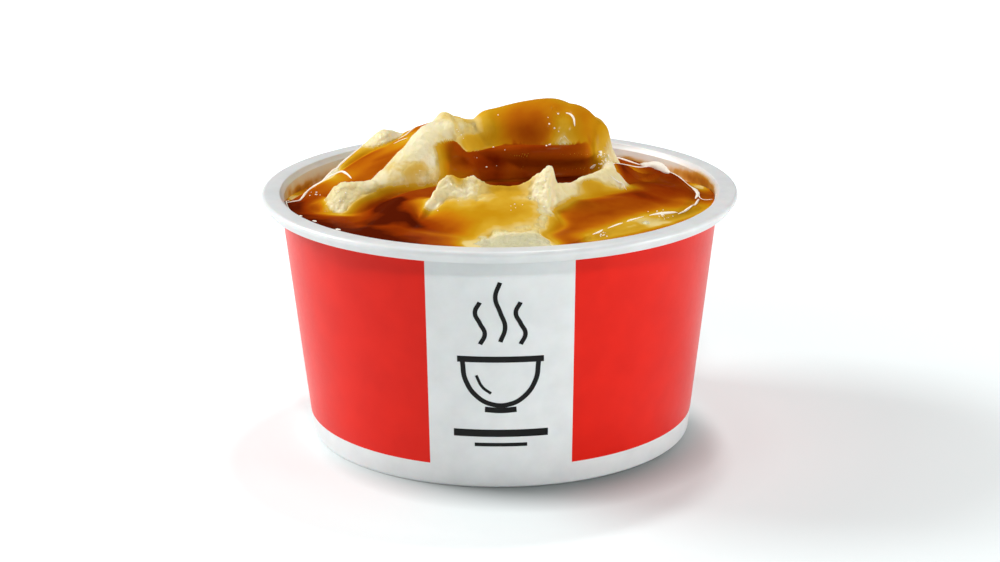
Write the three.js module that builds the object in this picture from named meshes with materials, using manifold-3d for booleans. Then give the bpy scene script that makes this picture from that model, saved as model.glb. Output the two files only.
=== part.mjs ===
// A side of mashed potato with gravy in its own pot.
// Millimetres, +Z up, origin on the pot's axis at the level of its standing ring, front towards -Y.
//
// The pot is one injection-moulded piece: a tapered cup with a flat flange and a short skirt.
// The potato is one heap of ridges, lobes and a torn sheet. The gravy is one pool that lies in its hollows.

import * as THREE from "three";
import { mergeVertices } from "three/addons/utils/BufferGeometryUtils.js";
import Module from "manifold-3d";

const wasm = await Module();
wasm.setup();

// ---------------------------------------------------------------- driving dimensions

const GAP = 0.3; // clearance between touching pieces

const POT = {
  height: 49.5,
  rimRadius: 47.5, // outside of the flange
  lipRadius: 43.7, // inside edge of the flange
  wallAtRim: 43.93, // outside of the wall, carried up to the height of the flange
  wallAtBase: 38.35, // outside of the wall, carried down to the floor
  wall: 0.75,
  floor: 1.1,
  flange: 0.95, // thickness of the flange and of its skirt
  skirt: 2.4, // depth of the skirt, from the top of the flange
  standRing: 1.3, // width of the ring the pot stands on
  recess: 0.8, // how far the base is raised inside that ring
  cornerRadius: 0.6, // outside corner at the foot of the wall
  innerCorner: 2, // inside corner between floor and wall
  rimRound: 0.75, // outside top edge of the flange
  lipRound: 0.35, // inside top edge of the flange
  lipDrop: 1, // the lip runs into the wall this far below the rim
  skirtDraft: 0.9, // how much the rolled skirt draws in towards its foot
  skirtEdge: 0.3, // chamfer at the foot of the skirt
  segments: 64,
};

const HEAP = {
  centre: 49.0, // height of the heap's foot on the axis
  fall: 0.0036, // how fast the foot falls towards the wall, per mm
  bottomCorner: 1.6, // chamfer that clears the rounded corner inside the pot
  rings: 19,
  segments: 108,
};

// Broad swellings under the ridges: where, how high and how wide.
const MOUNDS = [
  { x: 2, y: 13, height: 12, across: 17, along: 9.5 },
  { x: -20, y: 4, height: 3.5, across: 12, along: 10 },
];

// The hollow in front of the big lobe: a flat floor, then sides that rise with the square of the distance.
const CRATER = { x: 4, y: -4, floor: 46.5, flat: 8, stretch: 1.5, rise: 0.06, blend: 1.5 };

// The torn sheet in front: a slab that falls from its torn edge towards the front of the rim.
const APRON = {
  edge: -15.2, // y of the torn edge
  top: 53.2,
  fall: 0.2,
  left: -12,
  right: 9.6,
  narrowing: 0.4, // how fast the left side draws in towards the front
  backSlope: 2.4,
  rightSlope: 1.2,
  leftSlope: 0.5,
  curl: 1.3, // the front end turns up a little, over the last few millimetres
  curlFrom: 17,
  curlOver: 6,
  blend: 0.8,
};

const POOL = {
  front: 48.5, // level against the front of the rim
  drop: 4.0, // how much lower the gravy lies at the back
  bottom: 42.0, // the pool's block reaches down to here before the heap is cut out of it
  bottomCorner: 0.5,
  rings: 15,
  segments: 84,
};

// The upper part of the big lobe leans forward over the crater.
// Each range fades the lean from none to all of it.
const LEAN = {
  distance: 4,
  height: [52, 56.5],
  left: [-12, -6],
  right: [25, 19],
  back: [20, 12],
  front: [-3, 2],
};

// Ridges of potato. Each follows a path of [x, y, height, radius of its round top];
// left and right are the slopes of its flanks, seen along the path, and blend rounds its foot.
const RIDGES = [
  { name: "lobe", blend: 2.0, left: 2.0, right: 4.5,
    path: [[-1.2, 12, 63.3, 4.6], [5, 12.5, 64.4, 7], [10.5, 12.5, 65, 7.5], [14, 11.8, 64.2, 6.8]] },
  { name: "roll", blend: 0.8, left: 2.0, right: 4.5,
    path: [[18.8, 10.5, 61.2, 3.5], [18.4, 13.5, 61.2, 3.5]] },
  { name: "lip", blend: 1.0, left: 0.8, right: 4.0,
    path: [[-9, 7, 57, 1.6], [-5.5, 6.3, 56.6, 1.6], [0, 5.7, 56.8, 1.6], [6, 5.3, 57.4, 1.8],
      [12, 5.3, 57.6, 1.8], [16.5, 6, 57.6, 2]] },
  { name: "saddle", blend: 1.0, left: 1.2, right: 1.1,
    path: [[-10.6, 8.4, 62.8, 2.6], [-8, 9.8, 62, 1.8], [-4, 11.2, 61.4, 2], [-1, 12, 62.2, 3]] },
  { name: "ribbon", blend: 1.0, left: 2.8, right: 2.4,
    path: [[-10.8, 6.4, 62.6, 2.6], [-14.2, 2.8, 60.8, 3.8], [-17.1, -0.2, 58.6, 4.1],
      [-20.2, -3.4, 56, 4.1], [-22.8, -6, 54, 3.6], [-25, -8, 52.5, 3]] },
  { name: "block", blend: 0.6, left: 2.5, right: 2.5,
    path: [[-11.6, 2.6, 57.6, 2], [-12.6, -0.2, 56.6, 2.2], [-14.2, -2.6, 54.2, 2.2]] },
  { name: "back crest", blend: 1.0, left: 1.3, right: 1.6,
    path: [[-11, 10.5, 61.4, 0.8], [-15.5, 12.6, 59, 1], [-20, 13.4, 57.4, 1.8], [-24, 13.2, 58.2, 2.8],
      [-28, 11.5, 54.7, 2], [-31.5, 8.8, 52.2, 1.2], [-35, 5, 49.9, 1], [-38, 2.5, 48.2, 1]] },
  { name: "knob", blend: 1.0, left: 2.2, right: 1.3,
    path: [[-31.7, -8, 51.8, 1.6], [-30.8, -8.9, 52.8, 2.2], [-28.9, -9.4, 53.2, 2.2],
      [-27.2, -9.4, 53.2, 2.3], [-25.6, -9, 52.8, 2.4]] },
  { name: "torn crest", blend: 0.4, left: 2.6, right: 1.1,
    path: [[-14.6, -20.5, 50.2, 0.4], [-13, -18.2, 52.4, 0.3], [-11.3, -16.2, 55, 0.3],
      [-9.4, -15.2, 55.6, 0.3], [-7.4, -15, 54.9, 0.3], [-4.6, -15, 55.3, 0.3], [-2.2, -15, 53.8, 0.3],
      [3, -15, 53.3, 0.3], [6, -15, 54.8, 0.3], [8, -15, 56.2, 0.3], [10, -15, 57.6, 0.2],
      [11, -15.1, 54, 0.3]] },
  { name: "right ridge", blend: 0.6, left: 2.2, right: 1.15,
    path: [[10.5, -14.5, 53.4, 0.8], [14, -12, 53.4, 0.8], [19, -7.8, 54.3, 0.8], [22, -5, 54.8, 0.7]] },
  { name: "shoulder", blend: 0.6, left: 2.6, right: 2.6,
    path: [[21.8, -4.8, 54.8, 0.8], [21.8, -1, 54.6, 1.2], [20.6, 4, 55.2, 1.6], [18.8, 9, 56.5, 2.5]] },
  { name: "facet", blend: 0.4, left: 3.0, right: 2.4,
    path: [[22.2, -5, 54.9, 0.5], [24, -7.4, 52, 0.6]] },
  { name: "valley bed", blend: 1.5, left: 0.6, right: 0.6,
    path: [[-17, 8.5, 57.6, 4], [-21, 7.4, 55, 5], [-26, 5, 51.8, 5], [-31, 2, 49.4, 5]] },
  { name: "right bed", blend: 2.0, left: 0.5, right: 0.5,
    path: [[14, -19, 47.4, 5], [23, -14, 47.4, 6], [29, -8, 46.2, 6], [33, 1, 45.4, 6]] },
  { name: "front shelf", blend: 1.5, left: 0.5, right: 0.5,
    path: [[17, -34, 47.9, 3], [24, -27.5, 48.1, 3.5], [31, -20, 48, 3.5], [37.5, -12, 47.5, 3]] },
];

// Streams and pools of gravy, described like the ridges; flat is the half width of a level top.
const STREAMS = [
  { name: "right fall", blend: 1.2, left: 1.1, right: 0.8, flat: 0,
    path: [[23.4, 4, 53.2, 2], [25.6, 8.5, 51.8, 2], [28.6, 11.5, 50.9, 2], [31.4, 12.5, 50.2, 2]] },
  { name: "back right", blend: 1.2, left: 0.6, right: 0.6, flat: 3,
    path: [[23, 33.5, 46.7, 6], [30, 28.5, 46.1, 6]] },
  { name: "right rim", blend: 1.2, left: 1.1, right: 0.08, flat: 0,
    path: [[31.4, 12.5, 50.2, 2], [34.6, 11.5, 49.4, 2], [37, 4, 48.6, 1.6], [36.6, -8, 48.6, 1.4],
      [33.6, -17.2, 48.9, 1.3], [29, -21.5, 49.1, 1.2], [22, -28, 49.1, 1.2], [17.5, -33.8, 49, 1.2]] },
  { name: "right pool", blend: 1.2, left: 0.25, right: 0.25, flat: 2,
    path: [[15, -15, 50.8, 6], [22, -11, 50.6, 8], [29, -3, 50.2, 8]] },
  { name: "crater", blend: 1.2, left: 0.5, right: 0.5, flat: 5,
    path: [[-8, -3, 50.8, 6], [0, -2, 51, 6], [8, -1, 51, 6], [15, 0, 51.2, 5]] },
  { name: "spill", blend: 1.2, left: 0.5, right: 0.4, flat: 1.5,
    path: [[-9, -6, 51, 4], [-15.5, -11.5, 51.4, 4], [-18.5, -16, 50.6, 5], [-21, -24, 49.2, 6],
      [-24, -30, 48.6, 6]] },
  { name: "valley", blend: 1.2, left: 0.8, right: 0.9, flat: 2.2,
    path: [[-15.5, 9, 58.8, 4], [-20.5, 7.6, 56.4, 6], [-25.5, 5.2, 54, 6], [-30, 2.2, 51.5, 6],
      [-34, -1.5, 49.7, 6], [-38, -6, 48.2, 6]] },
];

const MATERIALS = {
  pot: new THREE.MeshStandardMaterial({ color: 0xe4e4e2, roughness: 0.35, metalness: 0 }),
  potato: new THREE.MeshStandardMaterial({ color: 0xe6dcb4, roughness: 0.6, metalness: 0 }),
  gravy: new THREE.MeshStandardMaterial({ color: 0x9a4f08, roughness: 0.12, metalness: 0 }),
};

// ---------------------------------------------------------------- small helpers

const clamp01 = (t) => Math.min(Math.max(t, 0), 1);
const mix = (a, b, t) => a + (b - a) * t;
const bump = (u) => Math.exp(-u * u);

/** 0 to 1 with level ends. */
function ease(t) {
  const c = clamp01(t);
  return c * c * (3 - 2 * c);
}

/** The larger of a and b, with the crease rounded over k. */
function smoothMax(a, b, k) {
  const t = clamp01(0.5 + (0.5 * (a - b)) / k);
  return mix(b, a, t) + k * t * (1 - t);
}

const smoothMin = (a, b, k) => -smoothMax(-a, -b, k);

/** u where it is positive and 0 elsewhere, rounded over k. */
const ramp = (u, k) => 0.5 * (u + Math.hypot(u, k));

/** Catmull-Rom through rows of any length, with perSpan steps between two rows. */
function curveThrough(rows, perSpan) {
  const first = rows[0].map((v, i) => 2 * v - rows[1][i]);
  const last = rows.at(-1).map((v, i) => 2 * v - rows.at(-2)[i]);
  const all = [first, ...rows, last];
  const points = [];
  for (let s = 1; s < all.length - 2; s += 1) {
    const [a, b, c, d] = all.slice(s - 1, s + 3);
    for (let step = 0; step < perSpan; step += 1) {
      const t = step / perSpan;
      points.push(b.map((_, i) => 0.5 * (2 * b[i] + (c[i] - a[i]) * t
        + (2 * a[i] - 5 * b[i] + 4 * c[i] - d[i]) * t * t
        + (3 * b[i] - a[i] - 3 * c[i] + d[i]) * t * t * t)));
    }
  }
  points.push(rows.at(-1));
  return points;
}

/** Distance, side and interpolated height and radius at the nearest point of a curve. */
function nearest(x, y, curve) {
  let best = { distance: Infinity, side: 0, height: 0, radius: 0 };
  for (let i = 0; i < curve.length - 1; i += 1) {
    const a = curve[i];
    const b = curve[i + 1];
    const dx = b[0] - a[0];
    const dy = b[1] - a[1];
    const t = clamp01(((x - a[0]) * dx + (y - a[1]) * dy) / (dx * dx + dy * dy));
    const qx = x - (a[0] + t * dx);
    const qy = y - (a[1] + t * dy);
    const distance = Math.hypot(qx, qy);
    if (distance < best.distance) {
      const side = Math.sign(dx * qy - dy * qx);
      best = { distance, side, height: mix(a[2], b[2], t), radius: mix(a[3], b[3], t) };
    }
  }
  return best;
}

/** Height of a ridge: an arc over its path, then straight flanks that touch the arc. */
function ridgeHeight(x, y, ridge) {
  ridge.curve ??= curveThrough(ridge.path, 8);
  const { distance, side, height, radius } = nearest(x, y, ridge.curve);
  const round = Math.max(radius, 0.2);
  const toLeft = 0.5 + 0.5 * Math.tanh((side * distance) / (0.3 * round + 0.2));
  const slope = mix(ridge.right, ridge.left, toLeft);
  const out = Math.max(distance - (ridge.flat ?? 0), 0);
  const tangent = (round * slope) / Math.hypot(1, slope);
  const arc = round - Math.sqrt(round * round - Math.min(out, tangent) ** 2);
  return height - arc - slope * Math.max(out - tangent, 0);
}

// ---------------------------------------------------------------- the heap of potato

/** The torn sheet: its face, its steep torn edge at the back and its wavy sides. */
function apronHeight(x, y) {
  const forward = APRON.edge - y;
  const leftEdge = APRON.left + APRON.narrowing * Math.max(forward, 0) + 0.5 * Math.sin(0.5 * y);
  const rightEdge = APRON.right + 0.8 * Math.sin(0.45 * y + 1);
  const curl = APRON.curl * ease((forward - APRON.curlFrom) / APRON.curlOver);
  const face = APRON.top - APRON.fall * forward + curl;
  const behind = APRON.backSlope * ramp(-forward, 0.6);
  const beside = APRON.rightSlope * ramp(x - rightEdge, 2) + APRON.leftSlope * ramp(leftEdge - x, 4);
  return face - behind - beside;
}

function potatoHeight(x, y) {
  let height = HEAP.centre - HEAP.fall * (x * x + y * y);
  for (const mound of MOUNDS) {
    height += mound.height * bump(Math.hypot((x - mound.x) / mound.across, (y - mound.y) / mound.along));
  }
  const fromCrater = Math.hypot((x - CRATER.x) / CRATER.stretch, y - CRATER.y) - CRATER.flat;
  const crater = CRATER.floor + CRATER.rise * Math.max(0, fromCrater) ** 2;
  height = smoothMin(height, crater, CRATER.blend);
  height = smoothMax(height, apronHeight(x, y), APRON.blend);
  for (const ridge of RIDGES) {
    height = smoothMax(height, ridgeHeight(x, y, ridge), ridge.blend);
  }
  return height;
}

/** How far forward a point of the heap leans, at its height. */
function leanAt(x, y, z) {
  const fade = (value, [none, all]) => ease((value - none) / (all - none));
  const across = fade(x, LEAN.left) * fade(x, LEAN.right);
  const along = fade(y, LEAN.back) * fade(y, LEAN.front);
  return LEAN.distance * fade(z, LEAN.height) * across * along;
}

// ---------------------------------------------------------------- the gravy

/** The pool's own level, lower towards the back, with the streams that run into it. */
function gravyHeight(x, y) {
  const back = ease((y + 30) / 60);
  let height = POOL.front - POOL.drop * back;
  for (const stream of STREAMS) {
    height = smoothMax(height, ridgeHeight(x, y, stream), stream.blend);
  }
  return height;
}

// ---------------------------------------------------------------- the pot

/** Outside radius of the wall at a height. */
const wallRadius = (z) => mix(POT.wallAtBase, POT.wallAtRim, z / POT.height);

/** Radius inside the pot at a height, less a clearance. */
const insideRadius = (z, clearance = 0) => wallRadius(z) - POT.wall - clearance;

/** Points of a round corner, from one angle to another, in degrees. */
function corner(r, z, radius, from, to, steps) {
  return Array.from({ length: steps + 1 }, (_, i) => {
    const angle = THREE.MathUtils.degToRad(mix(from, to, i / steps));
    return new THREE.Vector2(r + radius * Math.cos(angle), z + radius * Math.sin(angle));
  });
}

function makePot() {
  const { height, rimRadius, lipRadius, flange, skirt, cornerRadius, innerCorner, recess, standRing } = POT;
  const { rimRound, lipRound, lipDrop, skirtDraft, skirtEdge } = POT;
  const footRadius = wallRadius(cornerRadius) - cornerRadius;
  const floorTop = recess + POT.floor;
  const underFlange = height - flange;
  const skirtInside = rimRadius - flange;
  const skirtFoot = height - skirt;
  const floorRound = floorTop + innerCorner;
  const point = (r, z) => new THREE.Vector2(r, z);
  const profile = [
    point(0, recess),
    point(footRadius - standRing - recess, recess),
    point(footRadius - standRing, 0),
    ...corner(footRadius, cornerRadius, cornerRadius, -90, -6, 4),
    point(wallRadius(underFlange), underFlange),
    point(skirtInside, underFlange),
    point(skirtInside - skirtDraft, skirtFoot),
    point(rimRadius - skirtEdge - skirtDraft, skirtFoot),
    point(rimRadius - skirtDraft, skirtFoot + skirtEdge),
    ...corner(rimRadius - rimRound, height - rimRound, rimRound, 0, 90, 4),
    point(lipRadius + lipRound, height),
    ...corner(lipRadius + lipRound, height - lipRound, lipRound, 105, 165, 2),
    point(insideRadius(height - lipDrop), height - lipDrop),
    ...corner(insideRadius(floorRound) - innerCorner, floorRound, innerCorner, 0, -90, 3),
    point(0, floorTop),
  ];
  return new THREE.LatheGeometry(profile, POT.segments);
}

// ---------------------------------------------------------------- sculpted blocks

// Height of a puck's top before its points are moved; any height above the puck's bottom would do.
const PUCK_TOP = 46;

// Below 1, the rings of a puck lie a little closer together towards the wall.
const RING_POWER = 0.9;

/** A puck that fills the pot from a depth up to a height field; place moves a point of its top. */
function filledBlock({ rings, segments, bottomCorner: bevel }, bottom, heightAt, place) {
  const topHeight = PUCK_TOP;
  const radius = insideRadius(topHeight, GAP);
  const ringRadius = (k) => radius * (k / rings) ** RING_POWER;
  const profile = Array.from({ length: rings + 1 }, (_, k) => new THREE.Vector2(ringRadius(k), topHeight));
  profile.push(new THREE.Vector2(insideRadius(bottom + bevel, GAP), bottom + bevel));
  profile.push(new THREE.Vector2(insideRadius(bottom, GAP) - bevel, bottom));
  profile.push(new THREE.Vector2(0, bottom));
  const puck = new THREE.LatheGeometry(profile.reverse(), segments);
  const position = puck.getAttribute("position");
  for (let i = 0; i < position.count; i += 1) {
    // LatheGeometry turns its profile about Y, so its height is y and its ground plane is x and z.
    const x = position.getX(i);
    const y = -position.getZ(i);
    if (position.getY(i) < topHeight - 1e-6) {
      position.setXYZ(i, x, y, position.getY(i));
      continue;
    }
    const z = heightAt(x, y);
    const distance = Math.hypot(x, y);
    const atWall = distance > radius - 1e-3 ? insideRadius(z, GAP) / distance : 1;
    const placed = place(x * atWall, y * atWall, z);
    position.setXYZ(i, placed.x, placed.y, placed.z);
  }
  return puck;
}

/** Moves every point of a closed geometry outwards along its normal. */
function grown(geometry, distance) {
  const solid = welded(geometry);
  solid.computeVertexNormals();
  const position = solid.getAttribute("position");
  const normal = solid.getAttribute("normal");
  for (let i = 0; i < position.count; i += 1) {
    position.setXYZ(
      i,
      position.getX(i) + distance * normal.getX(i),
      position.getY(i) + distance * normal.getY(i),
      position.getZ(i) + distance * normal.getZ(i),
    );
  }
  return solid;
}

/** A copy with only positions, whose shared points are merged and whose empty triangles are gone. */
function welded(geometry) {
  const bare = geometry.clone();
  bare.deleteAttribute("normal");
  bare.deleteAttribute("uv");
  const merged = mergeVertices(bare, 1e-4);
  const index = merged.getIndex().array;
  const kept = [];
  for (let i = 0; i < index.length; i += 3) {
    const [a, b, c] = index.slice(i, i + 3);
    if (a !== b && b !== c && c !== a) {
      kept.push(a, b, c);
    }
  }
  merged.setIndex(kept);
  return merged;
}

function toManifold(geometry) {
  const solid = welded(geometry);
  return new wasm.Manifold(new wasm.Mesh({
    numProp: 3,
    vertProperties: new Float32Array(solid.getAttribute("position").array),
    triVerts: new Uint32Array(solid.getIndex().array),
  }));
}

function toGeometry(manifold) {
  const mesh = manifold.getMesh();
  const geometry = new THREE.BufferGeometry();
  geometry.setAttribute("position", new THREE.BufferAttribute(new Float32Array(mesh.vertProperties), 3));
  geometry.setIndex(new THREE.BufferAttribute(new Uint32Array(mesh.triVerts), 1));
  geometry.computeVertexNormals();
  return geometry;
}

// ---------------------------------------------------------------- the part

function named(name, geometry, material) {
  const mesh = new THREE.Mesh(geometry, material);
  mesh.name = name;
  return mesh;
}

const part = new THREE.Group();
part.name = "mashed_potato_side";

const pot = named("pot", makePot(), MATERIALS.pot);
pot.rotation.x = Math.PI / 2; // the lathe turns about Y, and the pot stands up along Z
part.add(pot);

const potatoBottom = POT.recess + POT.floor + GAP;
const leaning = (x, y, z) => new THREE.Vector3(x, y - leanAt(x, y, z), z);
const upright = (x, y, z) => new THREE.Vector3(x, y, z);
const potato = filledBlock(HEAP, potatoBottom, potatoHeight, leaning);
part.add(named("mashed_potato", potato, MATERIALS.potato));

// The pool is what the potato leaves free, in one piece.
// Slivers that the cut leaves on top of the potato are dropped.
const pool = toManifold(filledBlock(POOL, POOL.bottom, gravyHeight, upright));
const gravyPieces = pool.subtract(toManifold(grown(potato, GAP))).subtract(toManifold(potato)).decompose();
gravyPieces.sort((a, b) => b.volume() - a.volume());
part.add(named("gravy", toGeometry(gravyPieces[0]), MATERIALS.gravy));

export default part;
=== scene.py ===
"""A side of mashed potato with gravy in its own pot, dressed for rendering.

Metres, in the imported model's frame: +Z up along the pot's axis, -Y towards the front of the heap.
Sizes below are in millimetres and turned to metres where a mesh is placed.
"""

import math

import bpy
import numpy as np
from mathutils import Matrix, Vector, noise


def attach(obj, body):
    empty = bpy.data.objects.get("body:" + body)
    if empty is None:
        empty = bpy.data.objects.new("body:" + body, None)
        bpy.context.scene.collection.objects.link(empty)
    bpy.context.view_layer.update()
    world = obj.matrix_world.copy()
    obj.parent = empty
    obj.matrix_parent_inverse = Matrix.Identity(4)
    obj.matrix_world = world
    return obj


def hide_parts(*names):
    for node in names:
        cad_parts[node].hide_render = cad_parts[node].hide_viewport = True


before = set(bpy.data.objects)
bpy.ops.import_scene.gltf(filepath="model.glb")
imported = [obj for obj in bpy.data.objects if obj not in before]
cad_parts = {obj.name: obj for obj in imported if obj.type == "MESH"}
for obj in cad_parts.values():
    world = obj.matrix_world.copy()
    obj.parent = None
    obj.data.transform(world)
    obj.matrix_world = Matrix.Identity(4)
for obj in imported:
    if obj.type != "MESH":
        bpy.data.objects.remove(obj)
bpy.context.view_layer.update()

MM = 0.001
bpy.ops.object.select_all(action="DESELECT")
scene = bpy.context.scene

# ------------------------------------------------------------------ camera and lights

# Lens and film in millimetres, lengths in metres, elevation in degrees, roll in radians.
CAMERA = {
    "lens": 90.18, "film": 36, "nearest": 0.01,
    "distance": 0.5072, "elevation": 16.86, "aim": 0.02973, "roll": -0.006,
}
LIGHT_AIM = Vector((0, 0, 0.045))

# name: place, width and height, power
SOFTBOXES = {
    "left_key": ((-1.0, 0.32, 0.75), (0.45, 0.45), 14),
    "back_top": ((0.15, 0.5, 1.3), (0.15, 0.1), 6.5),
    "high_front": ((0.1, -1.0, 1.05), (0.15, 0.15), 6.2),
    "front_card": ((0.1, -1.3, 0.3), (0.6, 0.2), 1.6),
    "left_card": ((-1.1, -0.5, 0.2), (0.4, 0.25), 2),
    "right_card": ((1.15, -0.3, 0.16), (0.4, 0.25), 7.5),
}
ROOM_LIGHT = 0.03


def make_camera():
    data = bpy.data.cameras.new("camera")
    data.sensor_width = CAMERA["film"]
    data.lens = CAMERA["lens"]
    data.clip_start = CAMERA["nearest"]
    camera = bpy.data.objects.new("camera", data)
    scene.collection.objects.link(camera)
    tilt = math.radians(CAMERA["elevation"])
    aim = Vector((0, 0, CAMERA["aim"]))
    place = aim + CAMERA["distance"] * Vector((0, -math.cos(tilt), math.sin(tilt)))
    turn = (aim - place).to_track_quat("-Z", "Y").to_matrix().to_4x4()
    camera.matrix_world = Matrix.Translation(place) @ turn @ Matrix.Rotation(CAMERA["roll"], 4, "Z")
    scene.camera = camera


def make_softbox(name, place, size, power):
    data = bpy.data.lights.new(name, "AREA")
    data.shape = "RECTANGLE"
    data.size, data.size_y = size
    data.energy = power
    light = bpy.data.objects.new(name, data)
    scene.collection.objects.link(light)
    light.location = place
    light.rotation_mode = "QUATERNION"
    light.rotation_quaternion = (LIGHT_AIM - Vector(place)).to_track_quat("-Z", "Y")


make_camera()
for name, softbox in SOFTBOXES.items():
    make_softbox(name, *softbox)

# ------------------------------------------------------------------ material helpers


def linear(hex_colour):
    """An sRGB hex colour as linear RGBA."""
    parts = [int(hex_colour[i:i + 2], 16) / 255 for i in (0, 2, 4)]
    return [c / 12.92 if c <= 0.04045 else ((c + 0.055) / 1.055) ** 2.4 for c in parts] + [1.0]


def new_material(name):
    """A material with its node tree and Principled shader."""
    material = bpy.data.materials.new(name)
    material.use_nodes = True
    return material, material.node_tree, material.node_tree.nodes["Principled BSDF"]


def add(tree, kind, settings=None, links=None):
    """Adds a node, sets its properties and sockets by name or number, and links its inputs."""
    node = tree.nodes.new(kind)
    for key, value in (settings or {}).items():
        if isinstance(key, str) and hasattr(node, key):
            setattr(node, key, value)
        else:
            node.inputs[key].default_value = value
    for key, source in (links or {}).items():
        tree.links.new(source, node.inputs[key])
    return node


def set_stops(ramp_node, stops):
    """Colour stops of a ramp, as (position, hex colour)."""
    ramp = ramp_node.color_ramp
    while len(ramp.elements) > 1:
        ramp.elements.remove(ramp.elements[-1])
    ramp.elements[0].position, ramp.elements[0].color = stops[0][0], linear(stops[0][1])
    for position, colour in stops[1:]:
        ramp.elements.new(position).color = linear(colour)


# ------------------------------------------------------------------ mesh helpers


def points(piece):
    """The piece's vertices in millimetres, one row each."""
    flat = np.empty(len(piece.data.vertices) * 3)
    piece.data.vertices.foreach_get("co", flat)
    return flat.reshape(-1, 3) / MM


def set_points(piece, places):
    piece.data.vertices.foreach_set("co", (np.asarray(places) * MM).ravel())
    piece.data.update()


def set_attribute(piece, name, values):
    attribute = piece.data.attributes.new(name, "FLOAT", "POINT")
    attribute.data.foreach_set("value", np.asarray(values, np.float32))


def select(*pieces):
    """Only these pieces are selected, and the first is the active one."""
    bpy.ops.object.select_all(action="DESELECT")
    for piece in pieces:
        piece.select_set(True)
    bpy.context.view_layer.objects.active = pieces[0]


def edit(piece):
    select(piece)
    bpy.ops.object.mode_set(mode="EDIT")


def leave_edit():
    bpy.ops.object.mode_set(mode="OBJECT")


def pick_faces(piece, wanted):
    """Selects the faces that are wanted and leaves the piece in edit mode."""
    edit(piece)
    bpy.ops.mesh.select_mode(type="FACE")
    bpy.ops.mesh.select_all(action="DESELECT")
    leave_edit()
    for face in piece.data.polygons:
        face.select = wanted(face)
    bpy.ops.object.mode_set(mode="EDIT")


def dress(piece, *materials):
    piece.data.materials.clear()
    for material in materials:
        piece.data.materials.append(material)


def finish_piece(piece, node=None):
    """The piece rides on the part and, where it stands for a CAD node, that node is hidden."""
    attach(piece, "root")
    if node:
        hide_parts(node)


# ------------------------------------------------------------------ the pot's sizes

HEIGHT = 49.5
RIM_RADIUS = 47.5
LIP_RADIUS = 43.7
WALL_AT_RIM = 43.93
WALL_AT_BASE = 38.35
WALL = 0.75
FLOOR = 1.1
FLANGE = 0.95
SKIRT = 2.4
SKIRT_DRAFT = 0.9  # the rolled skirt draws in towards its foot
SKIRT_ROUND = 0.2
SKIRT_BEND = [(0.5, 0), (0.3, 0.25)]  # the corner inside the skirt: in from the skirt, down from the flange
NECK_ROUND = 0.3  # where the wall meets the flange
STAND_RING = 1.3
RECESS = 0.8
FOOT_ROUND = 0.6
INNER_ROUND = 2.0
RIM_ROUND = 0.75
LIP_ROUND = 0.35
LIP_DEPTH = 1.0
RIM_TURN = -28  # angle at which the skirt's slant runs into the rim's round, in degrees
LIP_TURN = 175  # angle at which the lip's round runs into the inside of the wall
WALL_TILT = 6  # degrees
FINE_DOWN_TO = 40.0  # above this the inside of the wall has rings enough for the gravy's stain
AROUND = 192  # points round the pot

PRINT_BOTTOM = 4.5  # the red field starts here
PANEL_HALF_ANGLE = (20.6, 18.65)  # half width of the white panels, at the foot and at the rim, in degrees
ON_WALL = 0.1  # a point this near the outside of the wall is on it
ON_INSIDE = 0.2
BORDER_SIDE = 30  # a face this far out towards a border is on its side of the pot
SMOOTH_UNDER = 32  # degrees between faces


def wall_radius(z):
    return WALL_AT_BASE + (WALL_AT_RIM - WALL_AT_BASE) * z / HEIGHT


def inside_radius(z):
    return wall_radius(z) - WALL


# ------------------------------------------------------------------ the potato's and the gravy's forms

# Broad swellings under the ridges: x, y, reach along x and y, height.
MOUNDS = [(2, 13, 17, 9.5, 12.0), (-20, 4, 12, 10, 3.5)]
DOME = {"top": 49.0, "fall": 0.0036}  # the heap under them falls with the square of the distance

# The hollow in front of the big lobe: a flat floor, then sides that rise with the square of the distance.
CRATER = {"x": 4, "y": -4, "floor": 46.5, "flat": 8, "stretch": 1.5, "rise": 0.06, "blend": 1.5}

# The torn sheet in front: a slab that falls from its torn edge towards the rim and turns up a little there.
APRON = {
    "edge": -15.2, "top": 53.2, "fall": 0.2, "curl": 1.3, "curl over": (17, 23),
    "left": -12.0, "right": 9.6, "narrowing": 0.4, "blend": 0.8,
    "back slope": 2.4, "right slope": 1.2, "left slope": 0.5,
}

# The upper part of the big lobe leans forward. Each range fades the lean from none to all of it.
LEAN = {
    "distance": 4.0, "height": (52, 56.5),
    "left": (-12, -6), "right": (25, 19), "back": (20, 12), "front": (-3, 2),
}

SHARPEST = 0.2  # the smallest round top of a ridge
FLANK_TURN = 0.3  # share of that round over which one flank's slope turns to the other's

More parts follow.
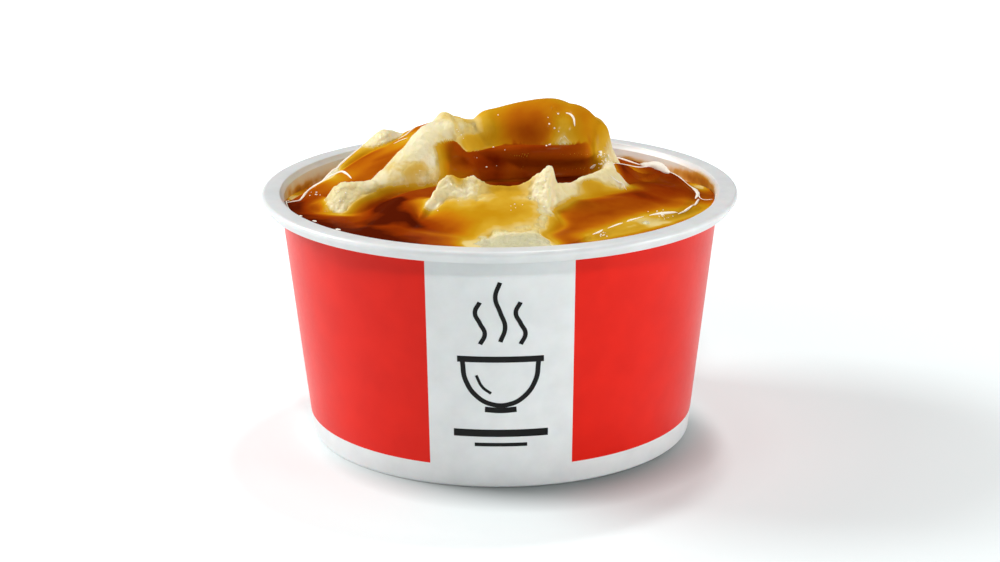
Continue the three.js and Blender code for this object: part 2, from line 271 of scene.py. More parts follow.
# name: blend at the foot, slopes on the left and on the right, path of x, y, height, radius of the round top
RIDGES = {
    "lobe": (2.0, 2.0, 4.5, [(-1.2, 12, 63.3, 4.6), (5, 12.5, 64.4, 7), (10.5, 12.5, 65.0, 7.5),
                             (14.0, 11.8, 64.2, 6.8)]),
    "roll": (0.8, 2.0, 4.5, [(18.8, 10.5, 61.2, 3.5), (18.4, 13.5, 61.2, 3.5)]),
    "lip": (1.0, 0.8, 4.0, [(-9, 7, 57, 1.6), (-5.5, 6.3, 56.6, 1.6), (0, 5.7, 56.8, 1.6),
                            (6, 5.3, 57.4, 1.8), (12, 5.3, 57.6, 1.8), (16.5, 6, 57.6, 2)]),
    "saddle": (1.0, 1.2, 1.1, [(-10.6, 8.4, 62.8, 2.6), (-8, 9.8, 62, 1.8), (-4, 11.2, 61.4, 2),
                               (-1, 12, 62.2, 3)]),
    "ribbon": (1.0, 2.8, 2.4, [(-10.8, 6.4, 62.6, 2.6), (-14.2, 2.8, 60.8, 3.8), (-17.1, -0.2, 58.6, 4.1),
                               (-20.2, -3.4, 56, 4.1), (-22.8, -6, 54, 3.6), (-25, -8, 52.5, 3)]),
    "block": (0.6, 2.5, 2.5, [(-11.6, 2.6, 57.6, 2), (-12.6, -0.2, 56.6, 2.2), (-14.2, -2.6, 54.2, 2.2)]),
    "back crest": (1.0, 1.3, 1.6, [(-11, 10.5, 61.4, 0.8), (-15.5, 12.6, 59, 1), (-20, 13.4, 57.4, 1.8),
                                   (-24, 13.2, 58.2, 2.8), (-28, 11.5, 54.7, 2), (-31.5, 8.8, 52.2, 1.2),
                                   (-35, 5, 49.9, 1), (-38, 2.5, 48.2, 1)]),
    "knob": (1.0, 2.2, 1.3, [(-31.7, -8.0, 51.8, 1.6), (-30.8, -8.9, 52.8, 2.2), (-28.9, -9.4, 53.2, 2.2),
                             (-27.2, -9.4, 53.2, 2.3), (-25.6, -9.0, 52.8, 2.4)]),
    "torn crest": (0.4, 2.6, 1.1, [(-14.6, -20.5, 50.2, 0.4), (-13, -18.2, 52.4, 0.3),
                                   (-11.3, -16.2, 55, 0.3), (-9.4, -15.2, 55.6, 0.3), (-7.4, -15, 54.9, 0.3),
                                   (-4.6, -15, 55.3, 0.3), (-2.2, -15, 53.8, 0.3), (3, -15, 53.3, 0.3),
                                   (6, -15, 54.8, 0.3), (8, -15, 56.2, 0.3), (10, -15, 57.6, 0.2),
                                   (11, -15.1, 54, 0.3)]),
    "right ridge": (0.6, 2.2, 1.15, [(10.5, -14.5, 53.4, 0.8), (14, -12, 53.4, 0.8), (19, -7.8, 54.3, 0.8),
                                    (22, -5, 54.8, 0.7)]),
    "shoulder": (0.6, 2.6, 2.6, [(21.8, -4.8, 54.8, 0.8), (21.8, -1, 54.6, 1.2), (20.6, 4, 55.2, 1.6),
                                 (18.8, 9, 56.5, 2.5)]),
    "facet": (0.4, 3.0, 2.4, [(22.2, -5, 54.9, 0.5), (24.0, -7.4, 52.0, 0.6)]),
    "valley bed": (1.5, 0.6, 0.6, [(-17, 8.5, 57.6, 4), (-21, 7.4, 55.0, 5), (-26, 5, 51.8, 5),
                                   (-31, 2, 49.4, 5)]),
    "right bed": (2.0, 0.5, 0.5, [(14, -19, 47.4, 5), (23, -14, 47.4, 6), (29, -8, 46.2, 6),
                                  (33, 1, 45.4, 6)]),
    "front shelf": (1.5, 0.5, 0.5, [(17, -34, 48.3, 3), (24, -27.5, 48.7, 3.5), (31, -20, 48.7, 3.5),
                                    (37.5, -12, 48.3, 3)]),
}

# Gravy that runs or stands, given as the ridges are, with the half width of a level top before the path.
STREAMS = {
    "right fall": (1.2, 1.1, 0.8, 0, [(23.4, 4, 53.2, 2), (25.6, 8.5, 51.8, 2), (28.6, 11.5, 50.9, 2),
                                      (31.4, 12.5, 50.2, 2)]),
    "back right": (1.2, 0.6, 0.6, 3, [(23, 33.5, 46.7, 6), (30, 28.5, 46.1, 6)]),
    "right rim": (1.2, 1.1, 0.08, 0, [(31.4, 12.5, 50.2, 2), (34.6, 11.5, 49.4, 2), (37, 4, 48.6, 1.6),
                                      (36.6, -8, 48.6, 1.4), (33.6, -17.2, 48.9, 1.3), (29, -21.5, 49.1, 1.2),
                                      (22, -28, 49.1, 1.2), (17.5, -33.8, 49, 1.2)]),
    "right pool": (1.2, 0.25, 0.25, 2, [(15, -15, 50.8, 6), (22, -11, 50.6, 8), (29, -3, 50.2, 8)]),
    "crater": (1.2, 0.5, 0.5, 5, [(-8, -3, 50.8, 6), (0, -2, 51, 6), (8, -1, 51, 6), (15, 0, 51.2, 5)]),
    "spill": (1.2, 0.5, 0.4, 1.5, [(-9, -6, 51, 4), (-15.5, -11.5, 51.4, 4), (-18.5, -16, 50.6, 5),
                                   (-21, -24, 49.2, 6), (-24, -30, 48.6, 6)]),
    "valley": (1.2, 0.8, 0.9, 2.2, [(-15.5, 9, 58.8, 4), (-20.5, 7.6, 56.4, 6), (-25.5, 5.2, 54, 6),
                                    (-30, 2.2, 51.5, 6), (-34, -1.5, 49.7, 6), (-38, -6, 48.2, 6)]),
}

# Gravy that clings to the potato: x, y, z, reach along x, y and z, and thickness. A thickness below 0 keeps
# the potato bare.
FILMS = [
    (7, 9, 63, 13, 9, 5.5, 1.35), (6, 6, 57.5, 4.4, 9, 6, 1.95), (18, 8, 60, 5, 9, 7, 0.65),
    (-4.5, 6, 57.6, 5, 4, 1.8, 0.5), (12.5, 6, 59.8, 2.8, 9, 3.6, -0.82), (-3.5, 8, 60.6, 4.5, 6, 2, -0.32),
    (-25, -25, 48, 9, 7, 5, 5.6), (0, -25, 51, 10, 6, 3, 0.75), (-20, -28, 49, 8, 8, 3, 4.8),
    (8, -23, 51.5, 4, 6, 3, 0.1), (18, -10.5, 52, 5, 2, 1.6, 0.6), (6, 26, 52, 16, 9, 8, 1.2),
    (0.7, -40, 49, 7.6, 5, 3, -1.6), (10, -19, 51, 2.5, 6, 4, -0.3), (-24, 3.5, 54, 6, 2.6, 3, 2.6),
    (-25, 12.5, 58, 5, 3, 1.8, -0.8), (-16.5, 12.3, 59, 3.2, 2.5, 2, 1.7), (-18, -10, 50, 6, 3.5, 1.8, 1.2),
    (-17.5, -5, 54, 5, 4, 2, 0.32), (-21.5, -8.8, 52.2, 4.5, 2.2, 2.5, 0.03),
    (-37.2, -10, 46.2, 2.6, 3.5, 3, 2.6),
    (-31, -17.5, 48, 3.6, 3, 3, -1.3), (27.5, -10, 47, 8, 4.5, 3, 4), (-42.5, 8, 46.5, 4, 9, 4, -4),
    (-32, 5.5, 50.5, 2, 3, 2, -0.3), (-29.5, 9.5, 53, 4.5, 3, 2.2, 0.75), (-21.5, -14.5, 47, 5, 4, 3, 5),
    (-30, -14, 48.5, 3.5, 3, 2.5, -0.3), (31, -24.5, 48.7, 7, 2.5, 3, -0.5), (41, 8, 43, 3, 10, 5, -3.8),
    (-9, -29, 49.5, 5, 3.5, 3, 1), (12, -30, 49, 3, 6, 3, 0.8), (8.6, -26.5, 50.3, 2.8, 5, 3, -0.34),
    (-34, 4, 49, 2.2, 2.2, 6, -1.5), (-14, -20, 50, 2.5, 3, 3, -1.6), (1.5, -15.5, 53.5, 4.5, 3, 3, 0.55),
    (-8, -14.8, 55, 2, 1.5, 2, 0.6),
]
CLIMB = (0.6, 0.6)  # gravy drawn up the potato above the pools: thickness at the foot, height it dies away in

# How a film shows, by its thickness.
FILM = {
    "taken up": 0.2,  # the potato takes this up before any shows
    "soak": 0.15,  # and is coloured this far ahead of the film's edge
    "bare": -0.3,  # the skin of the gravy lies this deep in bare potato
    "body": (0.15, 0.15),  # a thicker film is built this high, and by this share of its thickness
    "blend": 0.3,  # it runs into the pools over this height
    "sunk": 0.05,  # and its edge is tucked this far into the potato
    "thinnest": 0.15,  # the least depth that gives it its colour
}

# The lower edge of the big lobe: its height, its rises as (range of x, rise), its dip as (x, reach, depth).
LIP_EDGE = {"height": 57.2, "rises": [((-2, 3), 0.5), ((14, 20), 1.0), ((-6, -9), 1.5)], "dip": (-5, 3, 0.7)}
# Gravy that hangs under that edge, made a little thinner low down on the right so that it shows lighter
# there: painted light in the lobe's shade.
UNDER_LIP = {
    "thickness": 3.9, "edge": 0.5, "x": 4, "half length": 15, "y": 3, "reach": 6,
    "thinner": 0.2, "thinner below": (1, 2.5), "thinner right of": (-1, 3),
}

# The pool all round the heap, whose level falls to the back.
LEVEL = {"front": 48.5, "fall": 4.0, "along y": (-30, 30)}
BURIED = -1  # depth where there is no gravy


def ease(t):
    t = np.clip(t, 0, 1)
    return t * t * (3 - 2 * t)


def fade(value, start, end):
    """0 at the start of a range, 1 at its end."""
    return ease((value - start) / (end - start))


def smooth_max(a, b, k):
    t = np.clip(0.5 + 0.5 * (a - b) / k, 0, 1)
    return b + (a - b) * t + k * t * (1 - t)


def soft_ramp(u, k):
    """0 before u is 0 and u after it, rounded by k."""
    return 0.5 * (u + np.sqrt(u * u + k * k))


def bump(x, y, z=0.0):
    return np.exp(-x * x - y * y - z * z)


def spot(x, y, cx, cy, rx, ry, strength=1.0):
    return strength * bump((x - cx) / rx, (y - cy) / ry)


def curve_through(rows, per_span=8):
    """Catmull-Rom through rows of any length."""
    rows = np.asarray(rows, float)
    ends = np.vstack([2 * rows[0] - rows[1], rows, 2 * rows[-1] - rows[-2]])
    t = np.linspace(0, 1, per_span, endpoint=False)[:, None]
    spans = []
    for a, b, c, d in zip(ends, ends[1:], ends[2:], ends[3:]):
        spans.append(0.5 * (2 * b + (c - a) * t + (2 * a - 5 * b + 4 * c - d) * t ** 2
                            + (3 * b - a - 3 * c + d) * t ** 3))
    return np.vstack(spans + [rows[-1:]])


def nearest(x, y, curve):
    """Distance, side (+1 on the left) and interpolated height and radius at the nearest point of a curve."""
    best, side = np.full(x.shape, 1e9), np.zeros(x.shape)
    height, radius = np.zeros(x.shape), np.zeros(x.shape)
    for a, b in zip(curve, curve[1:]):
        dx, dy = b[0] - a[0], b[1] - a[1]
        t = np.clip(((x - a[0]) * dx + (y - a[1]) * dy) / (dx * dx + dy * dy), 0, 1)
        qx, qy = x - a[0] - t * dx, y - a[1] - t * dy
        distance = np.hypot(qx, qy)
        closer = distance < best - 1e-9
        best = np.where(closer, distance, best)
        side = np.where(closer, np.sign(dx * qy - dy * qx), side)
        height = np.where(closer, a[2] + t * (b[2] - a[2]), height)
        radius = np.where(closer, a[3] + t * (b[3] - a[3]), radius)
    return best, side, height, radius


def ridge_height(x, y, path, left, right, flat=0.0):
    """A level top if it has one, an arc beside it, then straight flanks that touch the arc."""
    distance, side, height, radius = nearest(x, y, curve_through(path))
    radius = np.maximum(radius, SHARPEST)
    to_left = np.tanh(side * distance / (FLANK_TURN * radius + SHARPEST))
    slope = right + (left - right) * (0.5 + 0.5 * to_left)
    out = np.maximum(distance - flat, 0)
    tangent = radius * slope / np.sqrt(1 + slope * slope)
    arc = radius - np.sqrt(radius ** 2 - np.minimum(out, tangent) ** 2)
    return height - arc - slope * np.maximum(out - tangent, 0)


def apron_height(x, y):
    """The torn sheet in front, with slopes behind it and beside its wavy edges."""
    forward = APRON["edge"] - y
    left_edge = APRON["left"] + APRON["narrowing"] * np.maximum(forward, 0) + 0.5 * np.sin(0.5 * y)
    right_edge = APRON["right"] + 0.8 * np.sin(0.45 * y + 1.0)
    face = APRON["top"] - APRON["fall"] * forward + APRON["curl"] * fade(forward, *APRON["curl over"])
    behind = APRON["back slope"] * soft_ramp(-forward, 0.6)
    on_right = APRON["right slope"] * soft_ramp(x - right_edge, 2.0)
    on_left = APRON["left slope"] * soft_ramp(left_edge - x, 4.0)
    return face - behind - on_right - on_left


def potato_height(x, y):
    height = DOME["top"] - DOME["fall"] * (x * x + y * y)
    for mound in MOUNDS:
        height += spot(x, y, *mound)
    from_crater = np.hypot((x - CRATER["x"]) / CRATER["stretch"], y - CRATER["y"]) - CRATER["flat"]
    crater = CRATER["floor"] + CRATER["rise"] * np.maximum(0, from_crater) ** 2
    height = -smooth_max(-height, -crater, CRATER["blend"])
    height = smooth_max(height, apron_height(x, y), APRON["blend"])
    for blend, left, right, path in RIDGES.values():
        height = smooth_max(height, ridge_height(x, y, path, left, right), blend)
    return height


def lean_at(x, y, z):
    """How far the upper part of the big lobe leans forward."""
    across = fade(x, *LEAN["left"]) * fade(x, *LEAN["right"])
    along = fade(y, *LEAN["back"]) * fade(y, *LEAN["front"])
    return LEAN["distance"] * fade(z, *LEAN["height"]) * across * along


def lip_edge(x):
    """Height of the big lobe's lower edge."""
    at, reach, depth = LIP_EDGE["dip"]
    rises = (rise * fade(x, *span) for span, rise in LIP_EDGE["rises"])
    return sum(rises, start=LIP_EDGE["height"]) - depth * bump((x - at) / reach, 0)


def film_thickness(x, y, z):
    """Gravy on the potato at a point: its films, and what hangs under the big lobe where they are thinner."""
    films = 0
    for cx, cy, cz, rx, ry, rz, thickness in FILMS:
        films = films + thickness * bump((x - cx) / rx, (y - cy) / ry, ((z - cz) / rz) ** 2)
    below = lip_edge(x) - z
    across = ((x - UNDER_LIP["x"]) / UNDER_LIP["half length"]) ** 4
    under = UNDER_LIP["thickness"] * fade(below, 0, UNDER_LIP["edge"])
    under = under * bump(across, (y - UNDER_LIP["y"]) / UNDER_LIP["reach"])
    # Painted light: low on the right, in the lobe's shade, the gravy is thinned so that its colour is
    # lighter.
    lightened_in_shade = fade(below, *UNDER_LIP["thinner below"]) * fade(x, *UNDER_LIP["thinner right of"])
    under = under * (1 - UNDER_LIP["thinner"] * lightened_in_shade)
    return films + np.maximum(under - np.maximum(films, 0), 0)


def gravy_surface(x, y, potato_top, wobble):
    """Height of the gravy, the depth that gives its colour, and how far it has soaked the potato."""
    level = LEVEL["front"] - LEVEL["fall"] * fade(y, *LEVEL["along y"])
    for blend, left, right, flat, path in STREAMS.values():
        level = smooth_max(level, ridge_height(x, y, path, left, right, flat), blend)
    drawn_up = CLIMB[0] * np.exp(np.minimum(level - potato_top, 0) / CLIMB[1])
    film = film_thickness(x, y, potato_top) + drawn_up - FILM["taken up"] + wobble
    soak = np.maximum(film + FILM["soak"], 0)
    first, share = FILM["body"]
    body = np.minimum(np.maximum(film, FILM["bare"]), first + share * film)
    surface = smooth_max(level, potato_top + body, FILM["blend"]) - FILM["sunk"]
    clouded = surface - potato_top + np.minimum(film - drawn_up, 0)
    shown = np.maximum(np.maximum(clouded, soak), FILM["thinnest"])
    return surface, np.where(surface > potato_top, shown, BURIED), soak


def noise_at(x, y, z, height, size, octaves, seed):
    """Smooth noise from about -height to height, with lumps of that size in millimetres."""
    places = np.c_[x, y, z] / size + seed
    if octaves == 1:
        return height * np.array([noise.noise(place) for place in places])
    return height * np.array([noise.fractal(place, 1.0, 2.0, octaves) for place in places])


# ------------------------------------------------------------------ the food's meshes

DISC_RADIUS = 43.0
DISC_CUTS = (9, 14)  # cuts of each edge, one round after the other
# Near the wall the disc is drawn in or out to it, from this share of its radius and over the rest.
WALL_PULL = (0.8, 0.2)
WALL_GAP = {"heap": 0.03, "gravy": 0.02, "folds": 0.1}
WALL_CLIMB = (0.35, 0.5)  # gravy climbs the wall by this much, and this far in from it

# Fine relief, as noise: height, size, octaves and seed.
WOBBLE = (0.13, 2.6, 3, 9.1)  # in the thickness of the films
LUMPS = (0.55, 4.5, 3, 3.1)  # left by the masher
CRUMBS = (0.45, 1.7, 2, 7.7)  # on torn potato
GRIT = (0.45, 0.9, 2, 1.3)  # between the crumbs
CLOUDS = (0.12, 3.5, 2, 5.9)  # in the depth of shallow gravy
SHALLOW = (0.3, 2.5)  # they are at their full height from the first depth, and end at the second
LEVELLED = (0.9, -0.3)  # lumps and crumbs are gone at the first depth of gravy and whole at the second

# Where the potato is torn: x, y, reach along x and y, how much; and how much it is torn elsewhere.
TORN = [(-30, -9, 6, 4, 0.15), (-2, -16.5, 18, 4, 1), (20, 2, 3, 6, 1)]
TORN_ELSEWHERE = 0.1
# Where the potato's colour is greyed as painted shade: along the rim, and on the torn sheet.
PAINTED_GREYING_RIM = {"x": 1.5, "y": -40, "half length": 9, "half width": 5}
PAINTED_GREYING_SHEET = (7, -24, 4, 5, 0.4)

BURIAL = 0.35  # gravy is held this far inside the potato where none shows
GRAVY_BODY = 0.6  # thickness
HEAP_GAP = 0.3  # between the heap and the pot's floor
HEAP_PULL = 0.1  # between the heap and the wall, lower down


def disc_of_triangles(name):
    """A disc of even triangles: a six-sided fan, cut finer and rounded out to a circle."""
    bpy.ops.mesh.primitive_circle_add(vertices=6, radius=DISC_RADIUS * MM, fill_type="TRIFAN")
    disc = bpy.context.object
    disc.name = disc.data.name = name
    edit(disc)
    bpy.ops.mesh.select_all(action="SELECT")
    for cut in DISC_CUTS:
        bpy.ops.mesh.subdivide(number_cuts=cut)
    leave_edit()
    flat = points(disc)
    angle, reach = np.arctan2(flat[:, 1], flat[:, 0]), np.hypot(flat[:, 0], flat[:, 1])
    sector = math.radians(60)
    side = np.round(angle / sector) * sector
    off_side = angle - side
    half = sector / 2
    rounded = side + half * np.tan(off_side) / math.tan(half)
    reach = reach * np.cos(off_side) / math.cos(half)
    set_points(disc, np.c_[reach * np.cos(rounded), reach * np.sin(rounded), flat[:, 2]])
    return disc


def fit_wall(x, y, z, gap):
    """Draws the disc in or out so that its edge follows the inside of the wall at its height."""
    pull_from, pull_over = WALL_PULL
    near_wall = ease((np.hypot(x, y) / DISC_RADIUS - pull_from) / pull_over)
    scale = 1 + ((inside_radius(z) - gap) / DISC_RADIUS - 1) * near_wall
    return x * scale, y * scale


def place_top(piece, x, y, z, gap):
    """Gives the disc its heights, fitted to the wall and leaning with the big lobe."""
    fitted_x, fitted_y = fit_wall(x, y, z, gap)
    set_points(piece, np.c_[fitted_x, fitted_y - lean_at(x, y, z), z])


potato = disc_of_triangles("potato_heap")
gravy = disc_of_triangles("gravy_pool")

ground = points(potato)
gx, gy = ground[:, 0], ground[:, 1]
heap = potato_height(gx, gy)
wobble = noise_at(gx, gy, heap, *WOBBLE)
_, bare_depth, _ = gravy_surface(gx, gy, heap, wobble)

# The heap is lumpy, and crumbly where it is torn, but not where the gravy levels it.
torn = sum((spot(gx, gy, *place) for place in TORN), start=TORN_ELSEWHERE)
lumps = noise_at(gx, gy, heap, *LUMPS)
crumbs = np.abs(noise_at(gx, gy, heap, *CRUMBS)) + noise_at(gx, gy, heap, *GRIT)
heap = heap + fade(bare_depth, *LEVELLED) * (lumps + torn * crumbs)

surface, depth, soak = gravy_surface(gx, gy, heap, wobble)
depth = depth + noise_at(gx, gy, heap, *CLOUDS) * fade(depth, 0, SHALLOW[0]) * (depth < SHALLOW[1])
surface = np.where(depth > 0, surface, np.minimum(surface, heap - BURIAL))
climb, climb_reach = WALL_CLIMB
surface = surface + climb * np.exp(-(DISC_RADIUS - np.hypot(gx, gy)) / climb_reach)

place_top(potato, gx, gy, heap, WALL_GAP["heap"])
place_top(gravy, gx, gy, surface, WALL_GAP["gravy"])
set_attribute(gravy, "depth", depth)
set_attribute(potato, "soak", soak)
# Painted shade: the potato is greyed along the rim and on the torn sheet.
along_rim = ((gx - PAINTED_GREYING_RIM["x"]) / PAINTED_GREYING_RIM["half length"]) ** 2
in_from_rim = ((gy - PAINTED_GREYING_RIM["y"]) / PAINTED_GREYING_RIM["half width"]) ** 2
set_attribute(potato, "painted_greying", bump(along_rim, in_from_rim) + spot(gx, gy, *PAINTED_GREYING_SHEET))


def close_heap(piece, bottom):
    """Draws the heap's edge down the wall to its foot and closes it underneath."""
    edit(piece)
    bpy.ops.mesh.select_mode(type="EDGE")
    bpy.ops.mesh.select_all(action="DESELECT")
    bpy.ops.mesh.select_non_manifold()
    for z, pull in ((bottom + INNER_ROUND, HEAP_PULL), (bottom, INNER_ROUND)):
        bpy.ops.mesh.extrude_region_move()
        leave_edit()
        for vertex in piece.data.vertices:
            if vertex.select:
                out = Vector((vertex.co.x, vertex.co.y)).normalized() * (inside_radius(z) - pull) * MM
                vertex.co = (out.x, out.y, z * MM)
        bpy.ops.object.mode_set(mode="EDIT")
    bpy.ops.mesh.edge_face_add()
    bpy.ops.mesh.select_all(action="SELECT")
    bpy.ops.mesh.normals_make_consistent(inside=False)
    leave_edit()


def thicken_gravy(piece, buried):
    """Cuts away the gravy that would lie inside the potato and gives the rest a body."""
    pick_faces(piece, lambda face: all(buried[i] for i in face.vertices))
    bpy.ops.mesh.delete(type="FACE")
    bpy.ops.mesh.select_all(action="SELECT")
    leave_edit()
    body = piece.modifiers.new("body", "SOLIDIFY")
    body.thickness = GRAVY_BODY * MM
    body.offset = -1
    bpy.ops.object.modifier_apply(modifier="body")


close_heap(potato, RECESS + FLOOR + HEAP_GAP)
thicken_gravy(gravy, (depth <= 0) & (bare_depth <= 0))
for piece in (potato, gravy):
    select(piece)
    bpy.ops.object.shade_smooth()

# ------------------------------------------------------------------ the pot's mesh


def corner(r, z, radius, start, end, steps):
    """Points of a round corner between two angles."""
    angles = [math.radians(start + (end - start) * i / steps) for i in range(steps + 1)]
    return [(r + radius * math.cos(a), z + radius * math.sin(a)) for a in angles]


def pot_section():
    """Points of radius and height: under the base, up the wall, round skirt and flange, down inside."""
    foot = wall_radius(FOOT_ROUND) - FOOT_ROUND
    floor_round = RECESS + FLOOR + INNER_ROUND
    under_flange = HEIGHT - FLANGE
    wall_top = under_flange - NECK_ROUND
    skirt_inside = RIM_RADIUS - FLANGE
    skirt_foot = HEIGHT - SKIRT
    skirt_outside = RIM_RADIUS - SKIRT_DRAFT - SKIRT_ROUND
    rings = [(foot - STAND_RING - RECESS, RECESS), (foot - STAND_RING, 0.0)]
    rings += corner(foot, FOOT_ROUND, FOOT_ROUND, -90, -WALL_TILT, 8)
    rings += [(wall_radius(PRINT_BOTTOM), PRINT_BOTTOM)]
    rings += [(wall_radius(z), z) for z in np.linspace(PRINT_BOTTOM, wall_top, 14)[1:]]
    rings += corner(wall_radius(under_flange) + NECK_ROUND, wall_top, NECK_ROUND, 180, 90, 3)
    rings += [(skirt_inside - inwards, under_flange - down) for inwards, down in SKIRT_BEND]
    rings += [(skirt_inside - SKIRT_DRAFT, skirt_foot)]
    rings += corner(skirt_outside, skirt_foot + SKIRT_ROUND, SKIRT_ROUND, -90, RIM_TURN, 3)
    rings += corner(RIM_RADIUS - RIM_ROUND, HEIGHT - RIM_ROUND, RIM_ROUND, RIM_TURN, 90, 10)
    rings += corner(LIP_RADIUS + LIP_ROUND, HEIGHT - LIP_ROUND, LIP_ROUND, 90, LIP_TURN, 5)
    rings += [(inside_radius(z), z) for z in np.linspace(HEIGHT - LIP_DEPTH, FINE_DOWN_TO, 18)]
    rings += corner(inside_radius(floor_round) - INNER_ROUND, floor_round, INNER_ROUND, 0, -90, 6)
    return rings


def make_pot():
    """A disc, extruded ring by ring along the pot's section."""
    rings = pot_section()
    bpy.ops.mesh.primitive_circle_add(vertices=AROUND, radius=rings[0][0] * MM, fill_type="NGON",
                                      location=(0, 0, rings[0][1] * MM))
    pot = bpy.context.object
    pot.name = pot.data.name = "pot_shell"
    bpy.ops.object.transform_apply(location=True, rotation=True, scale=True)
    edit(pot)
    bpy.ops.mesh.select_mode(type="EDGE")
    bpy.ops.mesh.select_all(action="SELECT")
    bpy.ops.mesh.region_to_loop()
    for (r0, z0), (r1, z1) in zip(rings, rings[1:]):
        bpy.ops.mesh.extrude_edges_move()
        bpy.ops.transform.resize(value=(r1 / r0, r1 / r0, 1), center_override=(0, 0, 0))
        bpy.ops.transform.translate(value=(0, 0, (z1 - z0) * MM))
    bpy.ops.mesh.edge_face_add()
    bpy.ops.mesh.select_all(action="SELECT")
    bpy.ops.mesh.normals_make_consistent(inside=False)
    leave_edit()
    return pot


def on_wall(centre):
    """Whether a point in millimetres lies on the outside of the wall."""
    return abs(math.hypot(centre.x, centre.y) - wall_radius(centre.z)) < ON_WALL


def wall_point(angle, z):
    """A point in metres on the outside of the wall."""
    return Vector((wall_radius(z) * math.cos(angle), wall_radius(z) * math.sin(angle), z)) * MM


def cut_print_border(pot, facing, side):
    """Cuts one slanted side of a white panel into the wall, so that the red field ends on edges."""
    low, high = PANEL_HALF_ANGLE
    foot = math.radians(facing + side * low)
    top = math.radians(facing + side * high)
    a, b = wall_point(foot, 0), wall_point(top, HEIGHT)
    outward = Vector((math.cos(foot), math.sin(foot), 0))

    def near_border(face):
        centre = face.center / MM
        on_this_side = centre.dot(outward) > BORDER_SIDE
        return on_wall(centre) and on_this_side and PRINT_BOTTOM < centre.z < HEIGHT - FLANGE

    pick_faces(pot, near_border)
    bpy.ops.mesh.bisect(plane_co=a, plane_no=(b - a).cross(outward).normalized(), threshold=1e-6)
    leave_edit()


def is_printed(centre):
    """Whether a face of the wall, by its centre in millimetres, lies in one of the red fields."""
    if not on_wall(centre) or not PRINT_BOTTOM < centre.z < HEIGHT - FLANGE - NECK_ROUND:
        return False
    from_front = abs(math.degrees(math.atan2(centre.x, -centre.y)))
    low, high = PANEL_HALF_ANGLE
    half = low + (high - low) * centre.z / HEIGHT
    return half < from_front < 180 - half


pot = make_pot()
for facing in (-90, 90):
    for side in (-1, 1):
        cut_print_border(pot, facing, side)
bpy.ops.object.shade_smooth_by_angle(angle=math.radians(SMOOTH_UNDER))

# Gravy smeared on the inside of the wall: angle, height, reach in degrees and in millimetres, strength.
STAINS = [
    (10, 47.3, 14, 1.7, 1.0), (26, 46.4, 9, 1.2, 0.6), (48, 46.6, 5, 0.7, 0.8), (164, 45.6, 12, 1.0, 0.7),
    (150, 46.4, 14, 1.4, 0.25), (174, 47.0, 14, 2.0, 0.35),
]


def stain_pot(piece):
    places = points(piece)
    angle, reach = np.degrees(np.arctan2(places[:, 1], places[:, 0])), np.hypot(places[:, 0], places[:, 1])
    stain = 0
    for at, z, turn, rise, strength in STAINS:
        off = (angle - at + 180) % 360 - 180
        stain = stain + strength * bump(off / turn, (places[:, 2] - z) / rise)
    inside = np.abs(reach - inside_radius(places[:, 2])) < ON_INSIDE
    set_attribute(piece, "stain", stain * inside)


stain_pot(pot)

# ------------------------------------------------------------------ the print on the white panels

INK_LIFT = 0.02
INK_THICKNESS = 0.02

# Strokes of the pictogram: width of the line, path of x and z.
BOWL_STROKES = [
    (1.0, [(-7.2, 26.5), (-6.6, 22.5), (-4.2, 19.0), (-1.4, 17.6), (1.4, 17.6), (4.2, 19.0), (6.6, 22.5),
           (7.2, 26.5)]),
    (1.3, [(-8.2, 26.9), (0, 26.9), (8.2, 26.9)]),
    (1.2, [(-3.0, 16.6), (0, 16.4), (3.0, 16.6)]),
]
STEAM = [(-3.8, 30, 38.5), (0, 30.5, 42.5), (3.8, 30, 38.5)]  # x, lower end, upper end
STEAM_SWAY = (0, 0.9, 0, -0.9, 0)
STEAM_WIDTH = 0.9
GLINT_AND_RULES = [
    (0.6, [(-4.6, 23.6), (-3.4, 21.2), (-1.8, 19.9)]),
    (1.6, [(-9.0, 11.6), (0, 11.6), (9.0, 11.6)]),
    (0.8, [(-5.0, 9.2), (0, 9.2), (5.0, 9.2)]),
]


def wrap_on_wall(piece, facing):
    """Bends a flat drawing, made in X and Z, round the wall; facing is 0 in front and 180 at the back."""
    flat = points(piece)
    radius = wall_radius(flat[:, 2]) + INK_LIFT + flat[:, 1]
    angle = math.radians(facing - 90) + flat[:, 0] / wall_radius(flat[:, 2])
    set_points(piece, np.c_[radius * np.cos(angle), radius * np.sin(angle), flat[:, 2]])


def tube(path, radius, taper=None):
    """A round tube through points in millimetres, with a factor of the radius at each, as a mesh."""
    bpy.ops.curve.primitive_bezier_curve_add()
    line = bpy.context.object
    curve = line.data
    curve.splines.clear()
    spline = curve.splines.new("BEZIER")
    spline.bezier_points.add(len(path) - 1)
    for point, place, factor in zip(spline.bezier_points, path, taper or [1] * len(path)):
        point.co = Vector(place) * MM
        point.radius = factor
        point.handle_left_type = point.handle_right_type = "AUTO"
    curve.dimensions = "3D"
    curve.resolution_u = 10
    curve.bevel_depth = radius * MM
    curve.bevel_resolution = 3
    curve.use_fill_caps = True
    select(line)
    bpy.ops.object.convert(target="MESH")
    return bpy.context.object


def join(pieces, name):
    select(*pieces)
    bpy.ops.object.join()
    whole = bpy.context.object
    whole.name = whole.data.name = name
    bpy.ops.object.shade_smooth()
    return whole


def stroke(width, path):
    """One inked line along a path of x and z, as a flat tube with round ends."""
    line = tube([(x, 0, z) for x, z in path], width / 2)
    flat = points(line)
    flat[:, 1] *= INK_THICKNESS / width
    set_points(line, flat)
    return line


def wisp(x, low, high):
    """The path of one wisp of steam."""
    step = (high - low) / (len(STEAM_SWAY) - 1)
    return [(x + sway, low + i * step) for i, sway in enumerate(STEAM_SWAY)]


